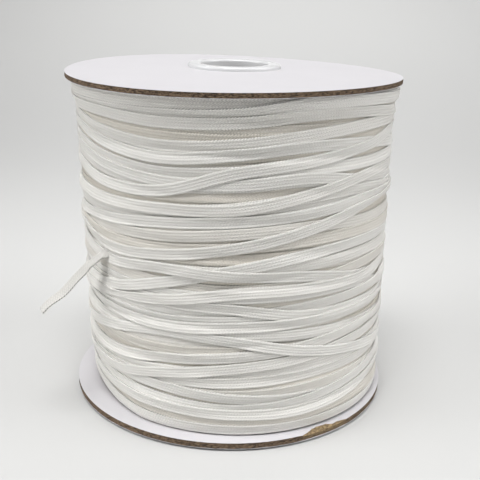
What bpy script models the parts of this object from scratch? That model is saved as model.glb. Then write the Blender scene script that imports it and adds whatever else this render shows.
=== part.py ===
# A roll of flat white elastic, wound between two card discs on a hub.
# Metres, +Z up. The origin is on the roll's axis, at the foot of the lower hub's collar, which the roll
# stands on.
# Angles round the roll are in degrees from the front (-Y), positive towards +X.

import math
from collections import namedtuple

import bpy
import bmesh
from mathutils import Matrix, Vector

MM = 0.001

# Driving sizes, in millimetres
DISC_RADIUS = 50.0
DISC_THICKNESS = 1.5
HUB_COLLAR_RADIUS = 14.0
HUB_COLLAR_HEIGHT = 1.1
HUB_BORE_RADIUS = 10.1
HUB_SLEEVE_RADIUS = 11.6
HUB_SLEEVE_LENGTH = 12.0
TUBE_INNER_RADIUS = 12.6
TUBE_OUTER_RADIUS = 14.0
GAP = 0.3
ELASTIC_WIDTH = 3.2
ELASTIC_THICKNESS = 0.9

# The upper face of the lower disc, and of the upper disc at its rim
LOWER_FACE = HUB_COLLAR_HEIGHT + DISC_THICKNESS
UPPER_FACE = LOWER_FACE + 96.7

# The upper disc leans towards the front, is domed at its hub and a little twisted
LEAN = 0.0446
SIDE_LEAN = -0.006
DOME = 1.0
TWIST = -0.45

# The winding's outer surface between its main turns: its radius at the foot and what it gains over its height,
# how far its centre stands off the axis towards +X at foot and top, and the drawn-in place at its foot
WOUND_RADIUS_FOOT = 45.4
WOUND_RADIUS_GAIN = 1.1
WOUND_OFFSET_FOOT = 1.9
WOUND_OFFSET_TOP = 0.3
DRAWN_IN = 1.5
DRAWN_IN_ANGLE = -62.0
DRAWN_IN_HALF_ANGLE = 24.0
DRAWN_IN_HEIGHT = 12.0

# Steps of the winding's surface, round it and up it, and of the turned pieces, and the room their facets need
WOUND_STEPS = 60
WOUND_LEVELS = 84
ROUND_STEPS = 64
FACET_ROOM = 0.1

# The main turns on the outside, in the order they were wound, from the first to the last.
# Each row has the height of the turn's centre in millimetres above the lower disc, at the angles that its
# columns name, and how far the turn stands out. Round the back it runs evenly from its last height to its first.
STATIONS = (-72.0, -48.0, -24.0, 0.0, 24.0, 48.0, 72.0)
Turn = namedtuple("Turn", "name at_m72 at_m48 at_m24 at_0 at_p24 at_p48 at_p72 lift")
TURNS = (
    Turn("rim", 91.6, 91.3, 91.5, 91.8, 92.2, 92.2, 92.0, 1.9),
    Turn("second", 88.6, 87.3, 86.4, 86.8, 88.6, 88.7, 87.9, 1.1),
    Turn("third", 85.7, 82.7, 80.6, 81.5, 83.8, 85.4, 85.7, 0.9),
    Turn("fourth", 82.9, 79.4, 77.6, 78.9, 80.8, 80.2, 78.8, 1.1),
    Turn("under_long_bend", 79.4, 75.9, 73.9, 74.6, 75.2, 75.4, 76.1, 0.7),
    Turn("arch", 75.8, 72.3, 70.6, 71.4, 72.8, 70.6, 69.2, 0.8),
    Turn("long_bend", 72.2, 68.8, 69.0, 74.4, 77.0, 79.8, 83.0, 1.7),
    Turn("middle_rise", 65.0, 64.0, 64.3, 65.0, 68.4, 71.9, 72.6, 1.2),
    Turn("broad_rise", 58.1, 58.9, 60.5, 61.8, 63.4, 65.4, 65.6, 1.1),
    Turn("under_steep", 56.4, 56.3, 56.9, 58.6, 59.9, 59.4, 59.5, 0.7),
    Turn("steep_rise", 54.0, 50.6, 51.8, 54.8, 59.0, 63.1, 64.1, 1.7),
    Turn("climber", 38.6, 39.4, 44.0, 49.2, 52.2, 53.4, 52.6, 1.1),
    Turn("over_climber", 49.4, 46.8, 47.9, 47.0, 46.2, 43.3, 42.5, 1.5),
    Turn("hump", 37.0, 37.3, 39.0, 42.0, 42.8, 42.6, 43.6, 1.5),
    Turn("dip", 38.5, 38.3, 38.3, 37.8, 35.0, 34.8, 34.6, 0.9),
    Turn("long_fall", 24.0, 27.1, 30.0, 28.6, 24.7, 21.2, 18.4, 1.7),
    Turn("level", 34.0, 32.1, 31.5, 32.8, 33.2, 33.4, 32.7, 1.4),
    Turn("low_rise", 20.0, 19.5, 21.8, 24.0, 26.2, 28.1, 29.4, 0.9),
    Turn("lower_rise", 14.3, 13.6, 16.9, 20.3, 22.6, 24.5, 25.1, 1.2),
    Turn("low_level", 15.0, 15.0, 15.6, 16.4, 17.4, 17.6, 17.3, 0.7),
    Turn("low_dip", 14.0, 13.4, 12.8, 11.4, 10.6, 10.4, 10.5, 1.1),
    Turn("foot_third", 11.2, 10.7, 10.2, 10.0, 10.0, 11.6, 12.9, 0.8),
    Turn("foot_second", 8.5, 7.4, 7.0, 6.5, 6.4, 8.1, 9.8, 1.1),
    Turn("foot", 4.0, 2.6, 1.3, 1.2, 1.9, 2.0, 1.1, 1.0),
)

# Route of the loose end's middle line in millimetres. It lies on the winding, then springs off it and hangs.
LOOSE_END_ROUTE = (
    (-30.2, -37.0, 52.2),
    (-34.0, -33.7, 51.8),
    (-37.3, -30.6, 50.2),
    (-39.9, -29.4, 46.8),
    (-43.9, -30.0, 42.6),
    (-47.5, -30.8, 38.6),
    (-51.3, -31.6, 35.8),
    (-53.6, -32.1, 33.4),
)
LOOSE_END_STEP = 2.0
LOOSE_END_TILT_START = 0.0
LOOSE_END_TILT_END = 75.0


def clear_scene():
    """Removes whatever the opened file holds."""
    for item in list(bpy.data.objects):
        bpy.data.objects.remove(item, do_unlink=True)


def material(name, colour, roughness):
    """Makes one Principled material."""
    made = bpy.data.materials.new(name)
    made.use_nodes = True
    shader = made.node_tree.nodes["Principled BSDF"]
    shader.inputs["Base Color"].default_value = (*colour, 1.0)
    shader.inputs["Roughness"].default_value = roughness
    shader.inputs["Metallic"].default_value = 0.0
    return made


def solid(name, shape, finish, crease=35.0):
    """Turns a bmesh in millimetres into a named object in metres."""
    bmesh.ops.recalc_face_normals(shape, faces=shape.faces)
    bmesh.ops.scale(shape, vec=(MM, MM, MM), verts=shape.verts)
    mesh = bpy.data.meshes.new(name)
    shape.to_mesh(mesh)
    shape.free()
    mesh.shade_smooth()
    mesh.set_sharp_from_angle(angle=math.radians(crease))
    made = bpy.data.objects.new(name, mesh)
    made.data.materials.append(finish)
    bpy.context.scene.collection.objects.link(made)
    return made


def turned(outline, steps=ROUND_STEPS):
    """Spins a closed outline of (radius, height) points round Z into a ring."""
    shape = bmesh.new()
    rings = []
    for step in range(steps):
        turn = 2.0 * math.pi * step / steps
        rings.append([shape.verts.new((radius * math.cos(turn), radius * math.sin(turn), height))
                      for radius, height in outline])
    for step in range(steps):
        here, after = rings[step], rings[(step + 1) % steps]
        for point in range(len(outline)):
            further = (point + 1) % len(outline)
            shape.faces.new((here[point], after[point], after[further], here[further]))
    return shape


def upper_face(x, y):
    """Height of the upper disc's top face at a place, in millimetres."""
    out = (x * x + y * y) / DISC_RADIUS ** 2
    twisted = TWIST * 2.0 * x * y / DISC_RADIUS ** 2
    return UPPER_FACE + LEAN * y + SIDE_LEAN * x + DOME * (1.0 - out) + twisted


def under_upper_disc(x, y):
    """Height a gap below the upper disc's underside at a place, in millimetres."""
    return upper_face(x, y) - DISC_THICKNESS - GAP


def disc(name, finish, upper):
    """A card disc with the hole for its hub. The upper one has its lean, dome and twist."""
    hole = HUB_SLEEVE_RADIUS + GAP + FACET_ROOM
    radii = [hole, 0.45 * DISC_RADIUS, 0.68 * DISC_RADIUS, 0.86 * DISC_RADIUS, DISC_RADIUS]
    outline = [(radius, 0.0) for radius in radii] + [(radius, -DISC_THICKNESS) for radius in reversed(radii)]
    shape = turned(outline)
    for point in shape.verts:
        point.co.z += upper_face(point.co.x, point.co.y) if upper else LOWER_FACE
    return solid(name, shape, finish)


def hub(name, finish, upper):
    """A moulded hub: a collar with a rounded lip on the disc's outer face, and a sleeve into the tube."""
    lip = 0.35
    under_sleeve = -(DISC_THICKNESS + HUB_SLEEVE_LENGTH)
    outline = [
        (HUB_BORE_RADIUS, under_sleeve),
        (HUB_SLEEVE_RADIUS, under_sleeve),
        (HUB_SLEEVE_RADIUS, GAP),
        (HUB_COLLAR_RADIUS, GAP),
        (HUB_COLLAR_RADIUS, HUB_COLLAR_HEIGHT - lip),
        (HUB_COLLAR_RADIUS - 0.3 * lip, HUB_COLLAR_HEIGHT - 0.3 * lip),
        (HUB_COLLAR_RADIUS - lip, HUB_COLLAR_HEIGHT),
        (HUB_BORE_RADIUS + 2.0 * lip, HUB_COLLAR_HEIGHT),
        (HUB_BORE_RADIUS + 0.5 * lip, HUB_COLLAR_HEIGHT - 0.5 * lip),
        (HUB_BORE_RADIUS, HUB_COLLAR_HEIGHT - 2.0 * lip),
    ]
    shape = turned(outline)
    if upper:
        tip = Matrix.Rotation(math.atan(LEAN), 4, "X") @ Matrix.Rotation(-math.atan(SIDE_LEAN), 4, "Y")
        place = Matrix.Translation((0.0, 0.0, UPPER_FACE + DOME)) @ tip
    else:
        over = Matrix.Rotation(math.pi, 4, "X")
        place = Matrix.Translation((0.0, 0.0, LOWER_FACE - DISC_THICKNESS)) @ over
    bmesh.ops.transform(shape, matrix=place, verts=shape.verts)
    return solid(name, shape, finish)


def core_tube(name, finish):
    """The card tube that the elastic is wound on. Its upper end follows the upper disc."""
    foot, head = 0.0, 1.0
    outline = [
        (TUBE_INNER_RADIUS, foot),
        (TUBE_OUTER_RADIUS, foot),
        (TUBE_OUTER_RADIUS, head),
        (TUBE_INNER_RADIUS, head),
    ]
    shape = turned(outline)
    for point in shape.verts:
        if point.co.z == head:
            point.co.z = under_upper_disc(point.co.x, point.co.y)
        else:
            point.co.z = LOWER_FACE + GAP
    return solid(name, shape, finish)


def round_the_roll(turn, angle):
    """Height of a turn's centre at an angle, on a smooth curve through its columns."""
    heights = turn[1:1 + len(STATIONS)]
    step = STATIONS[1] - STATIONS[0]
    back_steps = round((360.0 - (STATIONS[-1] - STATIONS[0])) / step)
    fall = (heights[0] - heights[-1]) / back_steps
    ring = list(heights) + [heights[-1] + fall * (count + 1) for count in range(back_steps - 1)]
    place = ((angle - STATIONS[0]) % 360.0) / step
    first = int(place)
    part = place - first
    before, here, after, beyond = (ring[(first + count) % len(ring)] for count in (-1, 0, 1, 2))
    bend = (after - before) * part
    curve = (2.0 * before - 5.0 * here + 4.0 * after - beyond) * part ** 2
    rise = (3.0 * here - before - 3.0 * after + beyond) * part ** 3
    return LOWER_FACE + here + 0.5 * (bend + curve + rise)


def wound_radius(angle, height):
    """Radius of the winding's surface about its own centre, with the main turns standing out of it."""
    up = (height - LOWER_FACE) / (UPPER_FACE - LOWER_FACE)
    away = (angle - DRAWN_IN_ANGLE + 180.0) % 360.0 - 180.0
    side = max(0.0, 1.0 - (away / DRAWN_IN_HALF_ANGLE) ** 2)
    low = max(0.0, 1.0 - (height - LOWER_FACE) / DRAWN_IN_HEIGHT)
    stand_out = 0.0
    for turn in TURNS:
        across = (height - round_the_roll(turn, angle)) / (0.5 * ELASTIC_WIDTH)
        crown = 1.0 - across ** 4
        stand_out = max(stand_out, turn.lift * crown)
    return WOUND_RADIUS_FOOT + WOUND_RADIUS_GAIN * up - DRAWN_IN * side * low + stand_out


def winding(name, finish):
    """The wound elastic as one ring: its main turns outside, its ends along the discs, and the tube's hole."""
    shape = bmesh.new()
    columns = []
    for step in range(WOUND_STEPS):
        angle = 360.0 * step / WOUND_STEPS
        turn = math.radians(angle)
        sideways, forward = math.sin(turn), -math.cos(turn)
        outer = WOUND_RADIUS_FOOT + WOUND_RADIUS_GAIN
        foot = LOWER_FACE + GAP
        head = under_upper_disc(outer * sideways, outer * forward) - FACET_ROOM
        inner = TUBE_OUTER_RADIUS + GAP
        inner_head = under_upper_disc(inner * sideways, inner * forward)
        column = [(inner * sideways, inner * forward, inner_head), (inner * sideways, inner * forward, foot)]
        for level in range(WOUND_LEVELS + 1):
            height = foot + (head - foot) * level / WOUND_LEVELS
            radius = wound_radius(angle, height)
            offset = WOUND_OFFSET_FOOT + (WOUND_OFFSET_TOP - WOUND_OFFSET_FOOT) * level / WOUND_LEVELS
            column.append((offset + radius * sideways, radius * forward, height))
        columns.append([shape.verts.new(place) for place in column])
    for step in range(WOUND_STEPS):
        here, after = columns[step], columns[(step + 1) % WOUND_STEPS]
        for point in range(len(here)):
            further = (point + 1) % len(here)
            shape.faces.new((here[point], after[point], after[further], here[further]))
    return solid(name, shape, finish, crease=75.0)


def smooth_route(points, step):
    """Places a step apart along a smooth curve through the route's points."""
    ends = [points[0] * 2.0 - points[1]] + list(points) + [points[-1] * 2.0 - points[-2]]
    fine = []
    for count in range(1, len(ends) - 2):
        before, here, after, beyond = ends[count - 1:count + 3]
        for tick in range(20):
            part = tick / 20.0
            bend = (after - before) * part
            curve = (before * 2.0 - here * 5.0 + after * 4.0 - beyond) * part ** 2
            rise = (here * 3.0 - before - after * 3.0 + beyond) * part ** 3
            fine.append(here + (bend + curve + rise) * 0.5)
    fine.append(points[-1])
    walked = [0.0]
    for count in range(1, len(fine)):
        walked.append(walked[-1] + (fine[count] - fine[count - 1]).length)
    pieces = max(2, round(walked[-1] / step))
    route = []
    for piece in range(pieces + 1):
        want = walked[-1] * piece / pieces
        after = next(count for count, length in enumerate(walked) if length >= want - 1e-9)
        before = max(0, after - 1)
        span = walked[after] - walked[before]
        part = (want - walked[before]) / span if span else 0.0
        route.append(fine[before].lerp(fine[after], part))
    return route


def loose_end(name, finish):
    """The end of the elastic that hangs off the winding: a flat strip that turns as it falls."""
    route = smooth_route([Vector(place) for place in LOOSE_END_ROUTE], LOOSE_END_STEP)
    line = bpy.data.curves.new(name, "CURVE")
    line.dimensions = "3D"
    line.twist_mode = "Z_UP"
    line.extrude = 0.5 * (ELASTIC_WIDTH - ELASTIC_THICKNESS) * MM
    line.bevel_depth = 0.5 * ELASTIC_THICKNESS * MM
    line.bevel_resolution = 2
    line.use_fill_caps = True
    spline = line.splines.new("POLY")
    spline.points.add(len(route) - 1)
    for count, place in enumerate(route):
        along = count / (len(route) - 1)
        spline.points[count].co = (*(place * MM), 1.0)
        tilt = LOOSE_END_TILT_START + (LOOSE_END_TILT_END - LOOSE_END_TILT_START) * along
        spline.points[count].tilt = math.radians(tilt)
    made = bpy.data.objects.new(name, line)
    made.data.materials.append(finish)
    bpy.context.scene.collection.objects.link(made)
    return made


clear_scene()
elastic = material("white elastic", (0.80, 0.80, 0.79), 0.75)
card = material("paper-faced card", (0.78, 0.77, 0.75), 0.6)
brown_card = material("brown card", (0.36, 0.30, 0.24), 0.9)
moulding = material("white moulded plastic", (0.85, 0.85, 0.84), 0.25)
disc("disc_bottom", card, upper=False)
disc("disc_top", card, upper=True)
hub("hub_bottom", moulding, upper=False)
hub("hub_top", moulding, upper=True)
core_tube("core_tube", brown_card)
winding("winding", elastic)
loose_end("loose_end", elastic)
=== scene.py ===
import math
from collections import namedtuple

import bpy
import numpy as np
from mathutils import Matrix, Vector


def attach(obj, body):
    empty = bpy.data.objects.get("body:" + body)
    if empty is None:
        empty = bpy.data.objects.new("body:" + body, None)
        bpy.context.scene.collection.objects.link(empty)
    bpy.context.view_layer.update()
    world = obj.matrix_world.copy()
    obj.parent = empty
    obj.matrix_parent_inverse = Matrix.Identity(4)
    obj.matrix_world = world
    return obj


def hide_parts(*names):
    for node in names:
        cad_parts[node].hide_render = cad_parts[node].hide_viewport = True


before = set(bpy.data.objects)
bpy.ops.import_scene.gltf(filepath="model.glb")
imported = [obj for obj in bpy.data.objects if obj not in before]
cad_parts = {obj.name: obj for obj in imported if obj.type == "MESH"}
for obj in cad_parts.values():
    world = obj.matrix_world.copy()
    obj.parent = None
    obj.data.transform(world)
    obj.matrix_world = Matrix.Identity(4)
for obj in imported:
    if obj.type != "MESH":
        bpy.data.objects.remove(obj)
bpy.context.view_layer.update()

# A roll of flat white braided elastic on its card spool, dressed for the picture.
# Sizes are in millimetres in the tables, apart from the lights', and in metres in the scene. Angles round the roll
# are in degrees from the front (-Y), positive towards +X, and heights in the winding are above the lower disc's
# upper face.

MM = 0.001

# The photograph's camera, as fitted to both discs: where it stands, its focal length and the photo's width in
# pixels, and how far in degrees it looks down, looks to the right and tips over
CAMERA_PLACE = (0.0, -222.56, 112.70)
CAMERA_PITCH, CAMERA_YAW, CAMERA_ROLL = 16.733, 0.717, -1.209
FOCAL_PIXELS, PHOTO_PIXELS = 719.08, 480.0
SENSOR = 36.0

# Soft boxes: place, target and size in metres, power in watts and spread in degrees. Three light the roll, and
# the others the background on each side of it.
Light = namedtuple("Light", "name place target size power spread")
LIGHTS = (
    Light("overhead_box", (-0.05, -0.28, 1.0), (0.0, -0.02, 0.03), 0.45, 0.75, 50.0),
    Light("left_box", (-0.7, -0.15, 0.5), (0.0, 0.0, 0.04), 0.6, 0.66, 60.0),
    Light("right_box", (0.7, -0.15, 0.5), (0.0, 0.0, 0.04), 0.6, 0.62, 60.0),
    Light("background_box", (0.05, 0.62, 0.9), (0.05, 0.86, 0.0), 0.8, 5.0, 115.0),
    Light("background_box_front", (0.0, -0.65, 0.9), (0.0, -0.95, 0.0), 0.8, 2.2, 115.0),
    Light("background_box_left", (-0.9, 0.0, 0.9), (-1.2, 0.0, 0.0), 0.8, 1.5, 115.0),
    Light("background_box_right", (0.9, 0.0, 0.9), (1.2, 0.0, 0.0), 0.8, 1.5, 115.0),
)
ROOM_LIGHT = 0.02

# The spool. HEAD is from the lower disc's upper face to the upper disc's, at its rim on average. The upper disc
# leans to the front and a little sideways by these slopes, rises at its hub by DOME and is twisted by TWIST.
LOWER_FACE = 2.6
HEAD = 96.7
LEAN = 0.0446
SIDE_LEAN = -0.006
DOME = 1.0
TWIST = -0.45
DISC_RADIUS = 50.0
DISC_THICKNESS = 1.5
# The lower disc's cut edge looks thicker in the photo, so it is drawn thicker, downwards
LOWER_DISC_THICKNESS = 1.9
# The paper on a disc's upper face and on its lower face
PAPER = 0.1
LOWER_PAPER = 0.12
# The hubs: the hole that they fill in the discs, the collar, the bore and the sleeve, how far the collar's seat goes
# into the disc's face, its lips' radii, how deep the bore's edge goes below the lip, and the steps round the axis
# and round a lip
HUB_HOLE = 12.0
HUB_COLLAR_RADIUS = 14.0
HUB_COLLAR_HEIGHT = 1.1
HUB_BORE_RADIUS = 10.1
HUB_SLEEVE_RADIUS = 11.6
HUB_SLEEVE_LENGTH = 12.0
HUB_SEAT = 0.15
HUB_OUTER_LIP = 0.75
HUB_INNER_LIP = 0.6
HUB_LIP_DEPTH = 3.0
HUB_STEPS = 144
LIP_STEPS = 6
TUBE_OUTER_RADIUS = 14.0

# A card disc's surface: its rings from the hub's hole to the rim, how far the paper turns down at the rim, how far
# the cut edge stands in, how much it frays, the step between paper and board, and the board's levels
DISC_STEPS = 720
DISC_RINGS = (HUB_HOLE, 13.0, 14.5, 18.0, 23.0, 29.0, 35.0, 40.0, 44.0, 46.0, 47.0, 47.4, 47.8, 48.2, 48.6, 49.0,
              49.4, 49.7, 49.9, 50.0)
RIM_DROP = 0.03
RIM_INSET = 0.06
FRAY = 0.05
PAPER_STEP = 0.02
BOARD_LEVELS = 8

# Where the paper is torn off the lower disc's rim: how far in from the rim at each angle
TORN = ((24.0, 0.0), (27.2, 1.0), (29.5, 2.0), (31.5, 2.4), (33.6, 2.3), (36.0, 2.0), (37.7, 1.1), (40.5, 1.2),
        (44.5, 0.0))
# How much lower and further in the torn board lies, over what distance the tear sets in, inwards and round, and how
# much less torn the cut edge is at its foot
TORN_DROP = 0.32
TORN_INSET = 0.25
TORN_FADE = 0.35
TORN_RIM_FADE = 0.8
TORN_FOOT_LOSS = 0.7

# The elastic: its width, its thickness as drawn and as it lies pressed under later turns, its ribs, the depth of
# the grooves between them, and the distance between stitches
ELASTIC_WIDTH = 3.2
ELASTIC_THICKNESS = 0.74
PRESSED_THICKNESS = 0.31
RIBS = 4
RIB_DEPTH = 0.18
STITCH = 0.8

# The winding's outside: its radius at the foot and what it gains per millimetre of height, and how far its middle
# stands to the right at the foot and what that loses per millimetre
WOUND_RADIUS = 46.2
WOUND_GAIN = 0.0112
WOUND_OFFSET = 1.93
WOUND_OFFSET_LOSS = 0.0164
# It swells under the upper disc, from that height and over so many millimetres
SWELL = 0.9
SWELL_FROM = 88.0
SWELL_OVER = 3.0
# It is drawn in at its foot on the left, about that angle, so far to both sides and up to that height
DRAWN_IN = 1.6
DRAWN_IN_ANGLE = -62.0
DRAWN_IN_REACH = 26.0
DRAWN_IN_HEIGHT = 14.0
# How far its turns keep off both discs and the tube
CLEARANCE = 0.3

# Turns that show, in the order they were wound. Each row gives the height of the turn's middle line at the angles
# that its columns name. Round the back it runs evenly from its last height to its first, and wanders a little.
STATIONS = (-72.0, -48.0, -24.0, 0.0, 24.0, 48.0, 72.0)
Turn = namedtuple("Turn", "name at_m72 at_m48 at_m24 at_0 at_p24 at_p48 at_p72")
DEEP_TURNS = (
    Turn("behind_third", 85.8, 84.2, 82.9, 82.6, 83.5, 85.0, 86.0),
    Turn("behind_steep", 56.4, 56.3, 56.9, 58.6, 59.9, 59.4, 59.5),
    Turn("under_steep", 55.3, 53.4, 53.5, 54.9, 56.2, 56.7, 56.4),
    Turn("behind_climber", 48.5, 48.0, 48.0, 48.3, 49.4, 50.1, 49.9),
    Turn("under_climber", 46.0, 45.1, 43.8, 43.0, 44.6, 46.6, 47.1),
    Turn("under_hump", 36.6, 36.6, 37.2, 39.2, 40.4, 40.0, 39.6),
    Turn("under_fall", 26.4, 26.2, 27.2, 28.4, 28.4, 27.2, 26.3),
    Turn("behind_low_rise", 25.0, 24.5, 24.6, 25.6, 26.0, 25.0, 24.5),
    Turn("behind_lower_rise", 17.3, 16.8, 18.2, 19.4, 20.2, 20.5, 20.3),
    Turn("behind_low_dip", 12.5, 12.6, 12.8, 12.7, 13.5, 14.0, 13.6),
    Turn("behind_foot", 6.6, 6.0, 5.0, 4.9, 5.2, 6.1, 4.8),
)
MIDDLE_TURNS = (
    Turn("third", 85.7, 82.7, 80.6, 81.5, 83.8, 85.4, 85.7),
    Turn("under_long_bend", 79.4, 75.9, 73.9, 74.6, 75.2, 75.4, 76.1),
    Turn("under_arch", 75.4, 72.2, 70.4, 71.0, 72.0, 70.0, 68.9),
    Turn("arch", 77.2, 73.7, 71.5, 71.4, 72.8, 70.6, 69.2),
    Turn("under_rises", 62.0, 61.4, 62.2, 63.2, 65.2, 67.0, 67.4),
    Turn("under_middle_rise", 64.5, 63.4, 64.0, 65.4, 67.8, 68.2, 66.2),
    Turn("under_hump_edge", 42.6, 41.9, 41.0, 41.2, 41.6, 41.2, 38.0),
    Turn("under_dip", 37.2, 36.5, 35.8, 35.8, 37.6, 38.4, 39.0),
    Turn("under_level", 34.9, 33.7, 33.4, 34.5, 34.9, 34.6, 34.0),
    Turn("beside_fall", 29.4, 29.0, 30.2, 30.3, 29.7, 28.9, 27.8),
    Turn("low_level", 15.0, 15.0, 15.6, 16.4, 17.4, 17.6, 17.3),
)
OUTER_TURNS = (
    Turn("rim", 92.4, 92.0, 91.6, 91.4, 91.6, 92.0, 92.0),
    Turn("rim_rise", 89.4, 88.9, 88.5, 89.1, 91.8, 92.0, 91.6),
    Turn("second", 88.6, 87.7, 86.5, 86.9, 88.7, 88.8, 87.9),
    Turn("fourth", 83.2, 79.6, 77.5, 79.0, 80.9, 80.6, 79.0),
    Turn("dip", 40.2, 39.8, 38.6, 37.9, 35.1, 34.8, 34.6),
    Turn("low_rise", 19.9, 19.5, 21.9, 24.1, 26.1, 28.1, 28.6),
    Turn("low_dip", 14.0, 13.4, 12.9, 11.5, 10.7, 10.4, 10.5),
    Turn("lower_rise", 14.3, 13.8, 17.6, 20.7, 22.7, 24.5, 25.1),
    Turn("foot_third", 10.4, 9.8, 9.0, 8.2, 9.6, 12.0, 13.8),
    Turn("foot_second", 8.7, 7.5, 7.1, 6.7, 6.7, 8.3, 9.9),
    Turn("foot", 4.0, 2.4, 1.9, 1.9, 2.1, 2.3, 2.1),
    Turn("climber", 38.6, 39.3, 44.0, 48.9, 52.3, 53.6, 53.0),
    Turn("over_climber", 49.2, 46.8, 48.0, 47.1, 46.3, 43.3, 42.5),
    Turn("middle_rise", 65.0, 64.0, 64.3, 65.0, 68.4, 71.9, 72.6),
    Turn("broad_rise", 58.1, 58.9, 60.5, 61.8, 63.4, 65.4, 65.6),
    Turn("hump", 36.0, 36.9, 39.2, 42.4, 42.9, 42.7, 43.8),
    Turn("long_fall", 24.0, 27.1, 30.0, 28.6, 24.7, 21.2, 18.4),
    Turn("level", 33.3, 32.0, 31.7, 32.8, 33.3, 33.5, 33.2),
    Turn("steep_rise", 54.0, 50.6, 51.8, 54.8, 59.0, 63.4, 64.9),
    Turn("long_bend", 72.2, 68.8, 69.0, 74.4, 77.0, 79.8, 83.0),
)
# Where a turn twists towards its edge: the angle, how far the twist reaches, and the share of its width that is lost
Twist = namedtuple("Twist", "turn angle reach loss")
TWISTS = (
    Twist("steep_rise", 60.0, 8.0, 0.45),
    Twist("low_rise", 63.0, 8.0, 0.5),
    Twist("hump", -45.0, 6.0, 0.4),
    Twist("under_hump_edge", 66.0, 8.0, 0.4),
)
HIDDEN_LAYERS = 2
HIDDEN_TURNS = 28
# How turns wander at the back: how far, in how many waves, and the shift in waves from one turn to the next
WANDER = ((1.7, 1.4, 0.618), (0.9, 2.6, 0.382))
# Painted shade: how much darker and creamier the deep and the hidden turns are coloured than the rest, as a loss of
# tone, and the tone of the ground below them, standing in for the dim light deep in the roll
DEEP_PAINTED_SHADE = 0.9
HIDDEN_PAINTED_SHADE = 1.5
GROUND_PAINTED_SHADE = -1.0
# Spreads the turns' tones evenly, and the stitches by which each turn's braid starts after the last one's
GOLDEN = 0.618
RUN_SHIFT = 37.0

# Route of the loose end's middle line, as in the part's source
LOOSE_END_ROUTE = (
    (-30.2, -37.0, 52.2),
    (-34.0, -33.7, 51.8),
    (-37.3, -30.6, 50.2),
    (-39.9, -29.4, 46.8),
    (-43.9, -30.0, 42.6),
    (-47.5, -30.8, 38.6),
    (-51.3, -31.6, 35.8),
    (-53.6, -32.1, 33.4),
)
# Where it comes out from under a turn, how far along it is there, and where it is clear of the roll
LOOSE_END_ROOT = (-35.7, -30.4, 50.3)
AT_ROOT = 8.0
AT_CLEAR = 15.0
# How far into the winding it is tucked before that, and over what length it comes out
TUCK_DEPTH = 2.6
TUCK_LENGTH = 2.5
# How far the strip turns its face up, in degrees, at places along it
TURNED = ((0.0, 0.0), (6.0, 0.0), (8.5, 60.0), (15.0, 55.0), (25.0, 58.0), (34.0, 72.0))
LOOSE_END_THICKNESS = 0.5

# The grid that the turns are laid on: columns round the roll, rows up it, and lanes across one band. A turn spans
# dips of up to BRIDGE columns on each side. The mean surface is a blur over so many columns and rows.
COLUMNS = 720
ROW_STEP = 0.2
ROWS = 484
LANES = 9
BRIDGE = 8
MEAN_COLUMNS = 18.0
MEAN_ROWS = 15.0
# Columns from one cross-section to the next along a band that shows, and along one that hardly does
EVERY = 3
EVERY_HIDDEN = 6


def linear(code):
    """Turns an sRGB hex colour to linear values for a shader."""
    values = [int(code[place:place + 2], 16) / 255.0 for place in (0, 2, 4)]
    return tuple(v / 12.92 if v <= 0.04045 else ((v + 0.055) / 1.055) ** 2.4 for v in values) + (1.0,)


def put(tree, kind, inputs=(), **settings):
    """Adds a node with its settings, and feeds its inputs with values or with other nodes' sockets."""
    made = tree.nodes.new(kind)
    for name, value in settings.items():
        setattr(made, name, value)
    for name, value in dict(inputs).items():
        if isinstance(value, bpy.types.NodeSocket):
            tree.links.new(value, made.inputs[name])
        else:
            made.inputs[name].default_value = value
    return made


def new_finish(name):
    """An empty material, its tree and its output node."""
    made = bpy.data.materials.new(name)
    made.use_nodes = True
    made.node_tree.nodes.clear()
    return made, made.node_tree, made.node_tree.nodes.new("ShaderNodeOutputMaterial")


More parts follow.
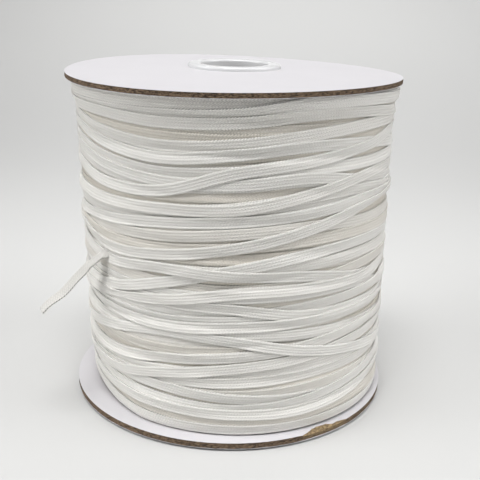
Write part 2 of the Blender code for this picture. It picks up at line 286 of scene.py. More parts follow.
def braided_elastic():
    """Matt bulked-polyester braid over rubber threads: four soft lengthwise ribs with slanting stitches across them,
    and no shine. Painted shade darkens it between the stitches, in the grooves, in dots along both edges, on the
    turns further in and on the loose end."""
    made, tree, out = new_finish("braided_polyester_elastic")
    run = put(tree, "ShaderNodeUVMap", uv_map="run")
    parts = put(tree, "ShaderNodeSeparateXYZ", {0: run.outputs[0]})
    along, across = parts.outputs[0], parts.outputs[1]
    # Across one rib the stitches slant out to both sides, a little unevenly. They are drawn 0.8 mm apart, since at
    # the real 0.5 mm or so they are too fine to show
    rib = put(tree, "ShaderNodeMath", {0: across, 1: 0.5}, operation="PINGPONG")
    place = put(tree, "ShaderNodeCombineXYZ", {0: along, 1: across})
    pull = put(tree, "ShaderNodeTexNoise", {"Vector": place.outputs[0], "Scale": 0.9, "Detail": 1.0})
    phase = put(tree, "ShaderNodeMath", {0: along, 1: 1.0 / STITCH, 2: pull.outputs["Fac"]},
                operation="MULTIPLY_ADD")
    # Each rib's stitches lie between its neighbour's
    beside = put(tree, "ShaderNodeMath", {0: across}, operation="FLOOR")
    phase = put(tree, "ShaderNodeMath", {0: beside.outputs[0], 1: 0.5, 2: phase.outputs[0]},
                operation="MULTIPLY_ADD")
    slant = put(tree, "ShaderNodeMath", {0: rib.outputs[0], 1: 1.4, 2: phase.outputs[0]}, operation="MULTIPLY_ADD")
    turn = put(tree, "ShaderNodeMath", {0: slant.outputs[0], 1: 2.0 * math.pi}, operation="MULTIPLY")
    stitch = put(tree, "ShaderNodeMath", {0: turn.outputs[0]}, operation="SINE")
    # Bulked fibre stands up unevenly between the stitches, in tufts of about 0.4 mm
    fluff = put(tree, "ShaderNodeTexNoise", {"Vector": place.outputs[0], "Scale": 2.4, "Detail": 5.0,
                                             "Roughness": 0.7})
    # Yarn that was drawn tighter leaves streaks about 8 mm long
    streaks = put(tree, "ShaderNodeMapping", {0: place.outputs[0], 3: (0.12, 3.0, 1.0)})
    drawn = put(tree, "ShaderNodeTexNoise", {"Vector": streaks.outputs[0], "Scale": 1.0, "Detail": 2.0})
    relief = put(tree, "ShaderNodeMath", {0: stitch.outputs[0], 1: 0.3, 2: fluff.outputs["Fac"]},
                 operation="MULTIPLY_ADD")
    bump = put(tree, "ShaderNodeBump", {"Strength": 0.9, "Distance": 0.00012, "Height": relief.outputs[0]})
    # Each turn has its own tone of white; below zero the same mark carries painted shade
    tone_and_painted_shade = put(tree, "ShaderNodeAttribute", attribute_name="tone_and_painted_shade")
    hue = put(tree, "ShaderNodeMix", {0: tone_and_painted_shade.outputs["Fac"], 6: linear("f8f6f2"), 7: linear("fdfcf9")},
              data_type="RGBA")
    # Painted shade: turns further in are coloured darker and creamier, standing in for the dim, warm light that
    # reaches them only off other turns
    inner = put(tree, "ShaderNodeMapRange", {0: tone_and_painted_shade.outputs["Fac"], 1: -1.0, 2: 0.0, 3: 1.0, 4: 0.0})
    hue = put(tree, "ShaderNodeMix", {0: inner.outputs[0], 6: hue.outputs[2], 7: linear("dad0bf")},
              data_type="RGBA")
    worn = put(tree, "ShaderNodeMix", {0: drawn.outputs["Fac"], 6: linear("f8f5ee"), 7: hue.outputs[2]},
               data_type="RGBA")
    # Painted shade: the colour is darkened between the stitches and in the grooves between the ribs, where shade
    # falls in the braid's fine relief
    stitch_gap_painted_shade = put(tree, "ShaderNodeMapRange", {0: stitch.outputs[0], 1: -0.8, 2: 0.4, 3: 0.8, 4: 1.02})
    groove_painted_shade = put(tree, "ShaderNodeMapRange", {0: rib.outputs[0], 1: 0.0, 2: 0.14, 3: 0.88, 4: 1.0})
    tuft = put(tree, "ShaderNodeMapRange", {0: fluff.outputs["Fac"], 1: 0.35, 2: 0.65, 3: 0.88, 4: 1.06})
    # Painted shade at both edges: the colour is darkened there in a row of dots, one per stitch, which also dims the
    # highlight that the edges catch
    middle = put(tree, "ShaderNodeMath", {0: across, 1: float(RIBS)}, operation="SUBTRACT")
    away = put(tree, "ShaderNodeMath", {0: middle.outputs[0]}, operation="ABSOLUTE")
    edge = put(tree, "ShaderNodeMapRange", {0: away.outputs[0], 1: 1.7, 2: 1.86, 3: 0.0, 4: 1.0})
    dotted_painted_shade = put(tree, "ShaderNodeMapRange", {0: stitch.outputs[0], 1: -0.5, 2: 0.3, 3: 0.5, 4: 1.0})
    painted_edge_shade = put(tree, "ShaderNodeMix", {0: edge.outputs[0], 2: 1.0, 3: dotted_painted_shade.outputs[0]})
    # Painted shade: the loose end's colour is darkened, since it faces up into the light and would otherwise look
    # brighter than the wound turns
    loose_end_painted_shade = put(tree, "ShaderNodeAttribute", attribute_name="loose_end_painted_shade")
    loose_end_shade = put(tree, "ShaderNodeMapRange", {0: loose_end_painted_shade.outputs["Fac"], 1: 0.0, 2: 1.0, 3: 1.0, 4: 0.78})
    hue = worn
    for shade in (stitch_gap_painted_shade, groove_painted_shade, tuft, painted_edge_shade, loose_end_shade):
        hue = put(tree, "ShaderNodeMix", {0: 1.0, 6: hue.outputs[2], 7: shade.outputs[0]},
                  data_type="RGBA", blend_type="MULTIPLY")
    shader = put(tree, "ShaderNodeBsdfPrincipled", {
        "Base Color": hue.outputs[2], "Roughness": 0.82, "IOR": 1.5, "Specular IOR Level": 0.25,
        "Sheen Weight": 0.25, "Sheen Roughness": 0.5, "Normal": bump.outputs[0]})
    tree.links.new(shader.outputs[0], out.inputs[0])
    return made


def paper_faced_board():
    """Bleached clay-coated paper over grey-brown chipboard: a smooth, faintly mottled white face, and a rough
    fibrous cut edge, streaked dark and light, with tan fibres where the paper is torn away."""
    made, tree, out = new_finish("paper_faced_chipboard")
    where = put(tree, "ShaderNodeTexCoord").outputs["Object"]
    # Clouds of about 17 mm in the white, and a tooth of 0.4 mm in the paper
    mottle = put(tree, "ShaderNodeTexNoise", {"Vector": where, "Scale": 60.0, "Detail": 3.0})
    tooth = put(tree, "ShaderNodeTexNoise", {"Vector": where, "Scale": 2500.0, "Detail": 2.0})
    # Fibres of the board lie level: about 0.3 mm thick and 1 mm long
    layers = put(tree, "ShaderNodeMapping", {0: where, 3: (1.0, 1.0, 3.5)})
    fibres = put(tree, "ShaderNodeTexNoise", {"Vector": layers.outputs[0], "Scale": 1000.0, "Detail": 4.0,
                                              "Roughness": 0.75})
    white = put(tree, "ShaderNodeMix", {0: mottle.outputs["Fac"], 6: linear("c8c6c9"), 7: linear("cecccf")},
                data_type="RGBA")
    brown = put(tree, "ShaderNodeValToRGB", {0: fibres.outputs["Fac"]})
    brown.color_ramp.elements[0].position = 0.41
    brown.color_ramp.elements[0].color = linear("2f251c")
    brown.color_ramp.elements[1].position = 0.6
    brown.color_ramp.elements[1].color = linear("8a745d")
    bare = put(tree, "ShaderNodeAttribute", attribute_name="torn")
    torn = put(tree, "ShaderNodeValToRGB", {0: fibres.outputs["Fac"]})
    torn.color_ramp.elements[0].position = 0.4
    torn.color_ramp.elements[0].color = linear("5f4e38")
    torn.color_ramp.elements[1].position = 0.6
    torn.color_ramp.elements[1].color = linear("a8926e")
    tan = put(tree, "ShaderNodeMix", {0: bare.outputs["Fac"], 6: brown.outputs[0], 7: torn.outputs[0]},
              data_type="RGBA")
    # The fibres make the line between paper and board ragged
    board = put(tree, "ShaderNodeAttribute", attribute_name="board")
    ragged = put(tree, "ShaderNodeMath", {0: fibres.outputs["Fac"], 1: 0.5, 2: board.outputs["Fac"]},
                 operation="MULTIPLY_ADD")
    share = put(tree, "ShaderNodeMapRange", {0: ragged.outputs[0], 1: 0.68, 2: 0.82, 3: 0.0, 4: 1.0})
    hue = put(tree, "ShaderNodeMix", {0: share.outputs[0], 6: white.outputs[2], 7: tan.outputs[2]},
              data_type="RGBA")
    rough = put(tree, "ShaderNodeMapRange", {0: share.outputs[0], 1: 0.0, 2: 1.0, 3: 0.5, 4: 0.95})
    height = put(tree, "ShaderNodeMix", {0: share.outputs[0], 2: tooth.outputs["Fac"], 3: fibres.outputs["Fac"]})
    depth = put(tree, "ShaderNodeMapRange", {0: share.outputs[0], 1: 0.0, 2: 1.0, 3: 0.05, 4: 0.9})
    bump = put(tree, "ShaderNodeBump", {"Strength": depth.outputs[0], "Distance": 0.0002,
                                        "Height": height.outputs[0]})
    shader = put(tree, "ShaderNodeBsdfPrincipled", {
        "Base Color": hue.outputs[2], "Roughness": rough.outputs[0], "IOR": 1.5, "Normal": bump.outputs[0]})
    tree.links.new(shader.outputs[0], out.inputs[0])
    return made


def moulded_polystyrene():
    """White injection-moulded polystyrene: glossy, very even, with the faint ripple of a moulded face, about
    8 mm from wave to wave."""
    made, tree, out = new_finish("moulded_white_polystyrene")
    where = put(tree, "ShaderNodeTexCoord").outputs["Object"]
    flow = put(tree, "ShaderNodeTexNoise", {"Vector": where, "Scale": 120.0, "Detail": 2.0})
    hue = put(tree, "ShaderNodeMix", {0: flow.outputs["Fac"], 6: linear("d6d6d7"), 7: linear("dcdcdd")},
              data_type="RGBA")
    rough = put(tree, "ShaderNodeMapRange", {0: flow.outputs["Fac"], 1: 0.3, 2: 0.7, 3: 0.16, 4: 0.26})
    bump = put(tree, "ShaderNodeBump", {"Strength": 0.15, "Distance": 0.0002, "Height": flow.outputs["Fac"]})
    shader = put(tree, "ShaderNodeBsdfPrincipled", {
        "Base Color": hue.outputs[2], "Roughness": rough.outputs[0], "IOR": 1.59, "Normal": bump.outputs[0]})
    tree.links.new(shader.outputs[0], out.inputs[0])
    return made


def spiral_wound_tube():
    """Plain kraft tube: strips of brown paper wound on a slant, with a soft seam every 14 mm or so."""
    made, tree, out = new_finish("spiral_wound_kraft_tube")
    where = put(tree, "ShaderNodeTexCoord").outputs["Object"]
    seam = put(tree, "ShaderNodeTexWave", {"Vector": where, "Scale": 26.0, "Distortion": 1.5, "Detail": 2.0},
               bands_direction="DIAGONAL")
    fibres = put(tree, "ShaderNodeTexNoise", {"Vector": where, "Scale": 700.0, "Detail": 4.0})
    mixed = put(tree, "ShaderNodeMath", {0: seam.outputs["Fac"], 1: 0.3, 2: fibres.outputs["Fac"]},
                operation="MULTIPLY_ADD")
    hue = put(tree, "ShaderNodeMix", {0: mixed.outputs[0], 6: linear("8a7256"), 7: linear("b59b78")},
              data_type="RGBA")
    bump = put(tree, "ShaderNodeBump", {"Strength": 0.4, "Distance": 0.0002, "Height": mixed.outputs[0]})
    shader = put(tree, "ShaderNodeBsdfPrincipled", {
        "Base Color": hue.outputs[2], "Roughness": 0.9, "IOR": 1.5, "Normal": bump.outputs[0]})
    tree.links.new(shader.outputs[0], out.inputs[0])
    return made


def matt_sweep():
    """Plain white background paper, matt and nearly even."""
    made, tree, out = new_finish("matt_background_paper")
    where = put(tree, "ShaderNodeTexCoord").outputs["Object"]
    cloud = put(tree, "ShaderNodeTexNoise", {"Vector": where, "Scale": 4.0, "Detail": 1.0})
    hue = put(tree, "ShaderNodeMix", {0: cloud.outputs["Fac"], 6: linear("c6c6c5"), 7: linear("c8c8c7")},
              data_type="RGBA")
    shader = put(tree, "ShaderNodeBsdfPrincipled", {
        "Base Color": hue.outputs[2], "Roughness": 0.95, "IOR": 1.4, "Specular IOR Level": 0.1})
    tree.links.new(shader.outputs[0], out.inputs[0])
    return made


def linked(name, mesh, finish):
    """An object of that mesh and finish, in the scene."""
    mesh.materials.append(finish)
    made = bpy.data.objects.new(name, mesh)
    bpy.context.scene.collection.objects.link(made)
    return made


def grid_mesh(name, places, round_first=True, round_second=True, runs=None, marks=None):
    """A mesh over a grid of places in millimetres, or several grids of one size. A direction that goes round
    joins its last row to its first. runs gives each grid corner's place along and across the band, one more
    than the places in each direction, and marks the named numbers of each place."""
    sheets, rows, cells = places.shape[:3]
    mesh = bpy.data.meshes.new(name)
    row_count = rows if round_first else rows - 1
    cell_count = cells if round_second else cells - 1
    row, cell = np.meshgrid(np.arange(row_count), np.arange(cell_count), indexing="ij")
    corners = [(row, cell), (row + 1, cell), (row + 1, cell + 1), (row, cell + 1)]
    one = np.stack([(r % rows) * cells + c % cells for r, c in corners], axis=-1).reshape(-1, 4)
    faces = np.concatenate([one + sheet * rows * cells for sheet in range(sheets)])
    mesh.vertices.add(sheets * rows * cells)
    mesh.vertices.foreach_set("co", (places * MM).astype(np.float32).ravel())
    mesh.loops.add(faces.size)
    mesh.loops.foreach_set("vertex_index", faces.astype(np.int32).ravel())
    mesh.polygons.add(len(faces))
    mesh.polygons.foreach_set("loop_start", np.arange(0, faces.size, 4, dtype=np.int32))
    mesh.update(calc_edges=True)
    if runs is not None:
        each = np.stack([runs[:, r, c] for r, c in corners], axis=3)
        layer = mesh.uv_layers.new(name="run")
        layer.data.foreach_set("uv", each.astype(np.float32).ravel())
    for title, values in (marks or {}).items():
        mark = mesh.attributes.new(title, "FLOAT", "POINT")
        mark.data.foreach_set("value", values.astype(np.float32).ravel())
    mesh.validate()
    mesh.shade_smooth()
    return mesh


def under_upper_disc(x, y):
    """Height of the upper disc's underside at a place, above the lower disc's upper face."""
    out = (x * x + y * y) / DISC_RADIUS ** 2
    twisted = TWIST * 2.0 * x * y / DISC_RADIUS ** 2
    return HEAD - DISC_THICKNESS + LEAN * y + SIDE_LEAN * x + DOME * (1.0 - out) + twisted


ANGLES = np.radians(np.arange(COLUMNS) * 360.0 / COLUMNS)
HEIGHTS = np.arange(ROWS) * ROW_STEP
ROOM_AT_HEAD = under_upper_disc(WOUND_RADIUS * np.sin(ANGLES), -WOUND_RADIUS * np.cos(ANGLES))


def through(before, here, after, beyond, part):
    """A smooth curve's point between here and after, that part of the way."""
    bend = (after - before) * part
    curve = (before * 2.0 - here * 5.0 + after * 4.0 - beyond) * part ** 2
    rise = (here * 3.0 - before - after * 3.0 + beyond) * part ** 3
    return here + (bend + curve + rise) * 0.5


def between(table, column, place):
    """Reads a table's columns between their cells, at places counted in cells."""
    place = np.clip(place, 0.0, table.shape[1] - 1.001)
    low = place.astype(int)
    return table[column, low] + (table[column, low + 1] - table[column, low]) * (place - low)


def lane_at(across):
    """The lane at a place across a band, from -1 to 1."""
    return (across + 1.0) * 0.5 * (LANES - 1)


def degrees_from(angle, middle=0.0):
    """How far an angle in radians is from one in degrees, in degrees from -180 to 180."""
    return (np.degrees(angle) - middle + 180.0) % 360.0 - 180.0


def smooth_ring(stations):
    """A closed smooth curve through values that stand evenly round the roll from the first station, read at
    every column."""
    count = len(stations)
    place = (np.degrees(ANGLES) - STATIONS[0]) % 360.0 / (360.0 / count)
    first = place.astype(int)
    part = place - first
    around = [np.asarray(stations)[(first + shift) % count] for shift in (-1, 0, 1, 2)]
    return through(*around, part)


def round_the_roll(turn, number):
    """Height of a turn's middle line at every column: through its stations in front, wandering at the back."""
    front = turn[1:]
    step = STATIONS[1] - STATIONS[0]
    behind = round((360.0 - (STATIONS[-1] - STATIONS[0])) / step)
    room_in_front = ROOM_AT_HEAD[int(STATIONS[-1] * COLUMNS / 360.0)]
    back = []
    for count in range(1, behind):
        part = count / behind
        even = front[-1] + (front[0] - front[-1]) * part
        waves = sum(far * math.sin(2.0 * math.pi * (times * part + shift * number)) for far, times, shift in WANDER)
        wander = math.sin(math.pi * part) * waves
        # The nearer the head, the more a turn follows the upper disc, which is higher at the back
        column = (STATIONS[-1] + step * count) % 360.0 * COLUMNS / 360.0
        raised = (ROOM_AT_HEAD[int(column)] - room_in_front) * (even / HEAD) ** 3
        back.append(even + wander + raised)
    return smooth_ring(list(front) + back)


def hidden_turn(layer, number):
    """Height of a turn of the even layers below: one pitch above the last, with a slow wander."""
    share = (number + 0.5 + 0.5 * (layer % 2)) / (HIDDEN_TURNS + 0.5)
    wave = 0.5 * np.sin(2.0 * ANGLES + 2.4 * number + layer) + 0.4 * np.sin(3.0 * ANGLES + 4.1 * number)
    return share * ROOM_AT_HEAD + wave


def blurred(length, spread, closed):
    """Weights that blur a row of values over a spread of cells, round a closed row or along an open one."""
    away = np.abs(np.arange(length)[:, None] - np.arange(length)[None, :])
    if closed:
        away = np.minimum(away, length - away)
    weights = np.exp(-0.5 * (away / spread) ** 2)
    return weights / weights.sum(axis=1, keepdims=True)


def lay_turn(stack, middle, half):
    """Lays one turn over what is wound already. Returns where its underside lies, lane by lane across it, and
    raises the stack. Under tension it bridges the steps below it instead of following them."""
    lanes = np.linspace(-1.0, 1.0, LANES)
    columns = np.arange(COLUMNS)[:, None]
    under = between(stack, columns, (middle[:, None] + lanes * half[:, None]) / ROW_STEP)
    # Across its width it rests on the highest lanes, smoothed
    beside = np.pad(under, ((0, 0), (1, 1)), mode="edge")
    under = np.maximum(np.maximum(beside[:, :-2], beside[:, 2:]), under)
    beside = np.pad(under, ((0, 0), (1, 1)), mode="edge")
    under = 0.25 * beside[:, :-2] + 0.5 * under + 0.25 * beside[:, 2:]
    # Round the roll it spans from one high place to the next, smoothed too
    reach = range(-BRIDGE, BRIDGE + 1)
    taut = np.max([np.roll(under, shift, axis=0) for shift in reach], axis=0)
    weights = np.exp(-0.5 * (np.array(reach) / (0.45 * BRIDGE)) ** 2)
    weights /= weights.sum()
    under = sum(weight * np.roll(taut, shift, axis=0) for weight, shift in zip(weights, reach))
    # Its outside raises the stack, less so at its edges
    across = (HEIGHTS[None, :] - middle[:, None]) / half[:, None]
    top = between(under, columns, lane_at(across))
    top += PRESSED_THICKNESS * np.clip(3.0 * (1.05 - np.abs(across)), 0.0, 1.0)
    np.maximum(stack, np.where(np.abs(across) <= 1.0, top, 0.0), out=stack)
    return under


def band_section():
    """A band's cross-section, as places across it from -1 to 1 and shares of its thickness: ribs outside,
    rounded edges and a flat inner face."""
    ribbed, edge_valley = 0.92, 0.45
    outside = []
    for point in range(3 * RIBS + 1):
        part = point / (3.0 * RIBS)
        valley = 0.5 + 0.5 * math.cos(2.0 * math.pi * RIBS * part)
        if point in (0, 3 * RIBS):
            valley = edge_valley
        outside.append((ribbed * (2.0 * part - 1.0), 1.0 - RIB_DEPTH / ELASTIC_THICKNESS * valley))
    return [(0.0, 0.0), (-0.9, 0.05), (-1.0, 0.4), (-0.98, 0.7)] + outside + [(0.98, 0.7), (1.0, 0.4), (0.9, 0.05)]


SECTION = np.array(band_section())
# A plainer one, with one groove, for the turns that hardly show
PLAIN_SECTION = np.array([(0.0, 0.0), (-0.9, 0.05), (-1.0, 0.5), (-0.9, 0.95), (-0.45, 0.9), (0.0, 1.0),
                          (0.45, 0.9), (0.9, 0.95), (1.0, 0.5), (0.9, 0.05)])


def wound_place(column, height, above, settle):
    """Place on the roll of a point that far above the winding's mean surface. column is in grid columns."""
    angle = column * 2.0 * math.pi / COLUMNS
    radius = between(settle, column, height / ROW_STEP) + above
    offset = WOUND_OFFSET - WOUND_OFFSET_LOSS * height
    return np.stack([offset + radius * np.sin(angle), -radius * np.cos(angle), LOWER_FACE + height], axis=-1)


def band_ring(middle, half, under, settle, every, section):
    """One turn's points, ring by ring, with its cross-section's points in each."""
    column = np.arange(0, COLUMNS, every)
    across, share = section[:, 0], section[:, 1]
    above = between(under, column[:, None], lane_at(across)[None, :]) + ELASTIC_THICKNESS * share
    height = middle[column][:, None] + across[None, :] * half[column][:, None]
    return wound_place(np.broadcast_to(column[:, None], height.shape), height, above, settle)


def band_runs(steps, section, length, start):
    """Place along and across the band at each corner of its grid, along in millimetres, across in ribs."""
    along = start + length * np.arange(steps + 1) / steps
    across = np.append(section[:, 0], section[0, 0]) * 0.5 * RIBS + RIBS
    return np.stack(np.meshgrid(along, across, indexing="ij"), axis=-1)


def wound_bands(name, bands, settle, finish, loss=0.0, every=EVERY, section=SECTION):
    """A piece of several turns, each a flat band with its ribs, laid where the winding holds it. loss is the painted
    shade that its turns carry for lying deeper in the roll, as a loss of tone."""
    places = np.stack([band_ring(middle, half, under, settle, every, section) for middle, half, under in bands])
    steps = COLUMNS // every
    turn_length = STITCH * round(2.0 * math.pi * WOUND_RADIUS / STITCH)
    runs = np.stack([band_runs(steps, section, turn_length, RUN_SHIFT * number * STITCH)
                     for number in range(len(bands))])
    tone_and_painted_shade = np.broadcast_to((GOLDEN * np.arange(len(bands)) % 1.0 - loss)[:, None, None], places.shape[:3])
    mesh = grid_mesh(name, places, runs=runs, marks={"tone_and_painted_shade": tone_and_painted_shade})
    return linked(name, mesh, finish)


def width_shown(name):
    """Share of its width that a turn shows at every column, less where it twists towards its edge."""
    share = np.ones(COLUMNS)
    for twist in TWISTS:
        if twist.turn == name:
            share -= twist.loss * np.exp(-0.5 * (degrees_from(ANGLES, twist.angle) / twist.reach) ** 2)
    return share


def wind(stack, names, heights):
    """Lays turns in order and returns what each needs to be built."""
    laid = []
    for name, middle in zip(names, heights):
        slope = np.gradient(middle, WOUND_RADIUS * 2.0 * math.pi / COLUMNS)
        half = 0.5 * ELASTIC_WIDTH * np.sqrt(1.0 + slope ** 2) * width_shown(name)
        middle = np.clip(middle, half + CLEARANCE, ROOM_AT_HEAD - half - CLEARANCE)
        laid.append((middle, half, lay_turn(stack, middle, half)))
    return laid


def settled(stack):
    """The mean surface's radius less the stack's own mean height, so that the outside keeps the roll's form."""
    mean = blurred(COLUMNS, MEAN_COLUMNS, True) @ stack @ blurred(ROWS, MEAN_ROWS, False).T
    height = HEIGHTS[None, :]
    radius = WOUND_RADIUS + WOUND_GAIN * height
    swell = SWELL * np.clip((height - SWELL_FROM) / SWELL_OVER, 0.0, 1.0)
    away = degrees_from(ANGLES, DRAWN_IN_ANGLE)[:, None]
    drawn = DRAWN_IN * np.clip(1.0 - (away / DRAWN_IN_REACH) ** 2, 0.0, 1.0)
    drawn = drawn * np.clip(1.0 - height / DRAWN_IN_HEIGHT, 0.0, 1.0)
    return radius + swell - drawn - mean


def winding(finish):
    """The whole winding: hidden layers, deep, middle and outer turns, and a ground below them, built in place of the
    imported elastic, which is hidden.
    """
    stack = np.zeros((COLUMNS, ROWS))
    hidden = []
    for layer in range(HIDDEN_LAYERS):
        hidden += wind(stack, [""] * HIDDEN_TURNS, [hidden_turn(layer, number) for number in range(HIDDEN_TURNS)])
    deep, middle, outer = [
        wind(stack, [turn.name for turn in turns], [round_the_roll(turn, first + n) for n, turn in enumerate(turns)])
        for turns, first in ((DEEP_TURNS, 0), (MIDDLE_TURNS, 20), (OUTER_TURNS, 40))]
    settle = settled(stack)
    pieces = [
        wound_bands("turns_hidden", hidden, settle, finish, loss=HIDDEN_PAINTED_SHADE, every=EVERY_HIDDEN,
                    section=PLAIN_SECTION),
        wound_bands("turns_deep", deep, settle, finish, loss=DEEP_PAINTED_SHADE),
        wound_bands("turns_middle", middle, settle, finish),
        wound_bands("turns_outer", outer, settle, finish),
        wound_ground("turns_ground", settle, finish),
    ]
    for piece in pieces:
        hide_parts("winding")
        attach(piece, "root")


def wound_ground(name, settle, finish):
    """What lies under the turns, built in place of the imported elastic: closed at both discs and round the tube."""
    levels, below_turns, halfway, cell_width = 41, -0.1, 32.0, 3.0
    column = np.arange(0, COLUMNS, EVERY_HIDDEN)
    head = ROOM_AT_HEAD[column] - CLEARANCE
    inner = TUBE_OUTER_RADIUS + CLEARANCE
    height = CLEARANCE + (head - CLEARANCE)[:, None] * np.linspace(0.0, 1.0, levels)[None, :]
    outside = wound_place(np.broadcast_to(column[:, None], height.shape), height,
                          np.full(height.shape, below_turns), settle)
    angle = ANGLES[column]
    ends = []
    for radius, share in ((halfway, 1.0), (inner, 1.0), (inner, 0.0), (halfway, 0.0)):
        x, y = radius * np.sin(angle), -radius * np.cos(angle)
        z = (under_upper_disc(x, y) - CLEARANCE) * share + CLEARANCE * (1.0 - share) + LOWER_FACE
        ends.append(np.stack([x, y, z], axis=-1))
    places = np.concatenate([outside, np.stack(ends, axis=1)], axis=1)[None]
    cells = places.shape[2]
    along = WOUND_RADIUS * 2.0 * math.pi * np.arange(len(column) + 1) / len(column)
    runs = np.stack(np.meshgrid(along, np.arange(cells + 1) * cell_width, indexing="ij"), axis=-1)[None]
    # The ground is coloured with the full painted shade of the turns deepest in
    tone_and_painted_shade = np.full(places.shape[:3], GROUND_PAINTED_SHADE)
    return linked(name, grid_mesh(name, places, runs=runs, marks={"tone_and_painted_shade": tone_and_painted_shade}), finish)


def smooth_route(points, step):
    """Places a step apart along a smooth curve through the route's points."""
    ticks = 40
    ends = [points[0] * 2.0 - points[1]] + list(points) + [points[-1] * 2.0 - points[-2]]
    fine = []
    for count in range(1, len(ends) - 2):
        fine += [through(*ends[count - 1:count + 3], tick / ticks) for tick in range(ticks)]
    fine.append(points[-1])
    fine = np.array([tuple(place) for place in fine])
    walked = np.concatenate([[0.0], np.cumsum(np.linalg.norm(np.diff(fine, axis=0), axis=1))])
    wanted = np.linspace(0.0, walked[-1], max(2, round(walked[-1] / step)) + 1)
    return np.stack([np.interp(wanted, walked, fine[:, axis]) for axis in range(3)], axis=1), walked[-1]


def ease(share):
    """0 to 1, slow at both ends."""
    share = np.clip(share, 0.0, 1.0)
    return share * share * (3.0 - 2.0 * share)


def loose_end(finish):
    """The elastic's free end: the same ribbed band, out from under a turn, off the roll and turning as it
    falls, cut square at its tip. Its first stretch is tucked back into the winding."""
    ring_step, path_step, cap = 0.5, 1.8, 0.001
    route, length = smooth_route([Vector(place) for place in LOOSE_END_ROUTE], ring_step)
    sparse, _ = smooth_route([Vector(place) for place in LOOSE_END_ROUTE], path_step)
    walked = np.linspace(0.0, 1.0, len(route)) * length
    up, level = np.array([0.0, 0.0, 1.0]), np.array([1.0, 1.0, 0.0])
    # It starts inside the winding, comes out at its root and runs straight to where it is clear of the roll
    inward = -route * level
    inward /= np.linalg.norm(inward, axis=1, keepdims=True)
    tucked = ease((AT_ROOT - walked) / TUCK_LENGTH)[:, None]
    root = np.array(LOOSE_END_ROOT)
    clear = np.array([np.interp(AT_CLEAR, walked, route[:, axis]) for axis in range(3)])
    straight = root + (clear - root) * np.clip((walked - AT_ROOT) / (AT_CLEAR - AT_ROOT), 0.0, 1.0)[:, None]
    straight = straight * (1.0 - tucked) + (route + TUCK_DEPTH * inward) * tucked
    route = np.where(walked[:, None] < AT_CLEAR, straight, route)
    # Its face stands upright, then turns up towards the tip, ribs outward
    forward = np.gradient(route, axis=0)
    forward /= np.linalg.norm(forward, axis=1, keepdims=True)
    side = np.cross(forward, up)
    side /= np.linalg.norm(side, axis=1, keepdims=True)
    over = np.cross(side, forward)
    tilt = np.radians(np.interp(walked, *zip(*TURNED)))[:, None]
    wide = over * np.cos(tilt) + side * np.sin(tilt)
    thick = np.cross(forward, wide)
    thick = thick * np.sign(np.sum(thick * (route * level), axis=1).mean())
    across, deep = SECTION[:, 0], SECTION[:, 1] - 0.5
    rings = (route[:, None, :] + wide[:, None, :] * (across * 0.5 * ELASTIC_WIDTH)[None, :, None]
             + thick[:, None, :] * (deep * LOOSE_END_THICKNESS)[None, :, None])
    # Each end is closed by a ring drawn in nearly to a point
    middle = route[:, None, :] + (rings - route[:, None, :]) * cap
    places = np.concatenate([middle[:1], rings, middle[-1:]])[None]
    steps = places.shape[1]
    along = np.append(np.linspace(0.0, length, steps), length)
    cells = np.append(across, across[0]) * 0.5 * RIBS + RIBS
    runs = np.stack(np.meshgrid(along, cells, indexing="ij"), axis=-1)[None]
    mesh = grid_mesh("loose_elastic", places, round_first=False, runs=runs,
                     marks={"tone_and_painted_shade": np.zeros(places.shape[:3]), "loose_end_painted_shade": np.ones(places.shape[:3])})
    piece = linked("loose_elastic", mesh, finish)
    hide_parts("loose_end")
    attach(piece, "root")


def torn_depth(angle):
    """How far in from the rim the paper is gone at an angle in degrees."""
    angles, depths = zip(*TORN)
    return np.interp(angle, angles, depths, left=0.0, right=0.0)


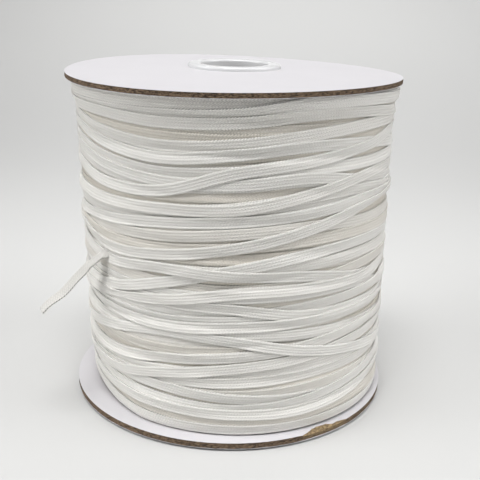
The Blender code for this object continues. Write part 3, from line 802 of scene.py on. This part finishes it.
def disc(name, node, finish, upper):
    """A card disc: paper on both faces, a fibrous cut rim, and on the lower one a torn place."""
    steps = DISC_STEPS
    angle = np.arange(steps) * 2.0 * math.pi / steps
    missing = np.zeros(steps) if upper else torn_depth(degrees_from(angle))
    grains = np.random.default_rng(11 if upper else 12)
    thick = DISC_THICKNESS if upper else LOWER_DISC_THICKNESS
    foot = thick - LOWER_PAPER
    rim = [PAPER - PAPER_STEP] + list(np.linspace(PAPER, foot, BOARD_LEVELS)) + [foot + PAPER_STEP]
    # Each row is a ring of radii and depths, from the hub's hole over the rim and back below
    rows, board, torn = [], [], []
    for radius in DISC_RINGS:
        gone = np.clip((missing - (DISC_RADIUS - radius)) / TORN_FADE, 0.0, 1.0)
        rough = grains.normal(0.0, FRAY, steps) * gone
        edge = RIM_DROP if radius == DISC_RINGS[-1] else 0.0
        rows.append((np.full(steps, radius), -edge - TORN_DROP * gone + rough))
        board.append(gone)
        torn.append(gone)
    for depth in rim:
        fray = np.convolve(grains.normal(0.0, FRAY, steps + 2), (0.25, 0.5, 0.25), mode="valid")
        gone = np.clip(missing / TORN_RIM_FADE, 0.0, 1.0)
        sunk = -TORN_DROP * gone * (1.0 - depth / thick)
        rows.append((DISC_RADIUS - RIM_INSET + fray - TORN_INSET * gone, np.full(steps, -depth) + sunk))
        bare = PAPER <= depth <= foot
        board.append(np.maximum(float(bare), gone * (depth < PAPER)))
        torn.append(gone * (1.0 - TORN_FOOT_LOSS * depth / thick))
    for radius in reversed(DISC_RINGS):
        edge = RIM_DROP if radius == DISC_RINGS[-1] else 0.0
        rows.append((np.full(steps, radius), np.full(steps, edge - thick)))
        board.append(np.zeros(steps))
        torn.append(np.zeros(steps))
    radii = np.stack([row[0] for row in rows], axis=1)
    drop = np.stack([row[1] for row in rows], axis=1)
    x, y = radii * np.sin(angle)[:, None], -radii * np.cos(angle)[:, None]
    top = under_upper_disc(x, y) + DISC_THICKNESS if upper else np.zeros(x.shape)
    places = np.stack([x, y, LOWER_FACE + top + drop], axis=-1)[None]
    marks = {"board": np.stack(board, axis=1)[None], "torn": np.stack(torn, axis=1)[None]}
    mesh = grid_mesh(name, places, marks=marks)
    mesh.set_sharp_from_angle(angle=math.radians(50.0))
    piece = linked(name, mesh, finish)
    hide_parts(node)
    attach(piece, "root")


def revolved(outline, steps):
    """Places on the surface that an outline of radii and heights makes as it goes round the axis."""
    angle = np.arange(steps) * 2.0 * math.pi / steps
    radius, height = np.array(outline).T
    return np.stack([radius[None, :] * np.cos(angle)[:, None], radius[None, :] * np.sin(angle)[:, None],
                     np.broadcast_to(height, (steps, len(outline)))], axis=-1)


def hub(name, node, finish, upper):
    """A moulded hub: a collar rounded at both lips, whose seat goes a little into the disc's face, and a sleeve
    into the tube."""
    foot = -(DISC_THICKNESS + HUB_SLEEVE_LENGTH)
    outline = [(HUB_BORE_RADIUS, foot), (HUB_SLEEVE_RADIUS, foot), (HUB_SLEEVE_RADIUS, -HUB_SEAT),
               (HUB_COLLAR_RADIUS, -HUB_SEAT)]
    turns = [math.radians(90.0 * tick / LIP_STEPS) for tick in range(LIP_STEPS + 1)]
    for turn in turns:
        outline.append((HUB_COLLAR_RADIUS - HUB_OUTER_LIP * (1.0 - math.cos(turn)),
                        HUB_COLLAR_HEIGHT - HUB_OUTER_LIP * (1.0 - math.sin(turn))))
    for turn in turns:
        outline.append((HUB_BORE_RADIUS + HUB_INNER_LIP * (1.0 - math.sin(turn)),
                        HUB_COLLAR_HEIGHT - HUB_INNER_LIP * (1.0 - math.cos(turn))))
    outline.append((HUB_BORE_RADIUS, HUB_COLLAR_HEIGHT - HUB_LIP_DEPTH))
    if upper:
        tip = Matrix.Rotation(math.atan(LEAN), 3, "X") @ Matrix.Rotation(-math.atan(SIDE_LEAN), 3, "Y")
        foot_height = LOWER_FACE + HEAD + DOME
    else:
        tip = Matrix.Rotation(math.pi, 3, "X")
        foot_height = LOWER_FACE - DISC_THICKNESS
    places = revolved(outline, HUB_STEPS) @ np.array(tip).T + np.array([0.0, 0.0, foot_height])
    mesh = grid_mesh(name, places[None])
    mesh.set_sharp_from_angle(angle=math.radians(45.0))
    piece = linked(name, mesh, finish)
    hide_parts(node)
    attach(piece, "root")


def sweep(finish):
    """A round floor that curves up into a wall, far enough off for a camera on any side."""
    flat, bend, wall, ticks, steps = 380.0, 1200.0, 2000.0, 16, 96
    outline = [(0.001, 0.0), (90.0, 0.0), (200.0, 0.0), (flat, 0.0)]
    for tick in range(1, ticks + 1):
        turn = math.radians(90.0 * tick / ticks)
        outline.append((flat + bend * math.sin(turn), bend * (1.0 - math.cos(turn))))
    outline.append((flat + bend, wall))
    mesh = grid_mesh("background_sweep", revolved(outline, steps)[None], round_second=False)
    made = linked("background_sweep", mesh, finish)


def soft_box(row):
    """A square soft box that faces its target."""
    lamp = bpy.data.lights.new(row.name, "AREA")
    lamp.shape = "SQUARE"
    lamp.size = row.size
    lamp.energy = row.power
    lamp.spread = math.radians(row.spread)
    made = bpy.data.objects.new(row.name, lamp)
    made.location = row.place
    made.rotation_euler = (Vector(row.target) - Vector(row.place)).to_track_quat("-Z", "Y").to_euler()
    bpy.context.scene.collection.objects.link(made)


def room_light(strength):
    """Even light from all round, as in a white room."""
    world = bpy.data.worlds.new("white_room")
    world.use_nodes = True
    back = world.node_tree.nodes["Background"]
    back.inputs[0].default_value = linear("fbfaf8")
    back.inputs[1].default_value = strength
    bpy.context.scene.world = world


def camera():
    """The photograph's camera, in front of the roll and a little above it, looking down."""
    pitch, yaw, roll = (math.radians(angle) for angle in (CAMERA_PITCH, CAMERA_YAW, CAMERA_ROLL))
    ahead = Vector((math.sin(yaw) * math.cos(pitch), math.cos(yaw) * math.cos(pitch), -math.sin(pitch)))
    right = Vector((math.cos(yaw), -math.sin(yaw), 0.0))
    down = ahead.cross(right)
    across = right * math.cos(roll) + down * math.sin(roll)
    below = down * math.cos(roll) - right * math.sin(roll)
    turn = Matrix((across, -below, -ahead)).transposed().to_4x4()
    lens = bpy.data.cameras.new("camera")
    lens.lens = FOCAL_PIXELS / PHOTO_PIXELS * SENSOR
    lens.sensor_width = SENSOR
    lens.clip_start, lens.clip_end = 0.01, 10.0
    made = bpy.data.objects.new("camera", lens)
    made.matrix_world = Matrix.Translation(Vector(CAMERA_PLACE) * MM) @ turn
    bpy.context.scene.collection.objects.link(made)
    bpy.context.scene.camera = made


camera()
elastic = braided_elastic()
card = paper_faced_board()
moulding = moulded_polystyrene()
loose_end(elastic)
winding(elastic)
disc("card_disc_lower", "disc_bottom", card, upper=False)
disc("card_disc_upper", "disc_top", card, upper=True)
hub("hub_lower", "hub_bottom", moulding, upper=False)
hub("hub_upper", "hub_top", moulding, upper=True)
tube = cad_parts["core_tube"]
tube.material_slots[0].material = spiral_wound_tube()
sweep(matt_sweep())
for box in LIGHTS:
    soft_box(box)
room_light(ROOM_LIGHT)
bpy.context.scene.view_settings.view_transform = "Standard"
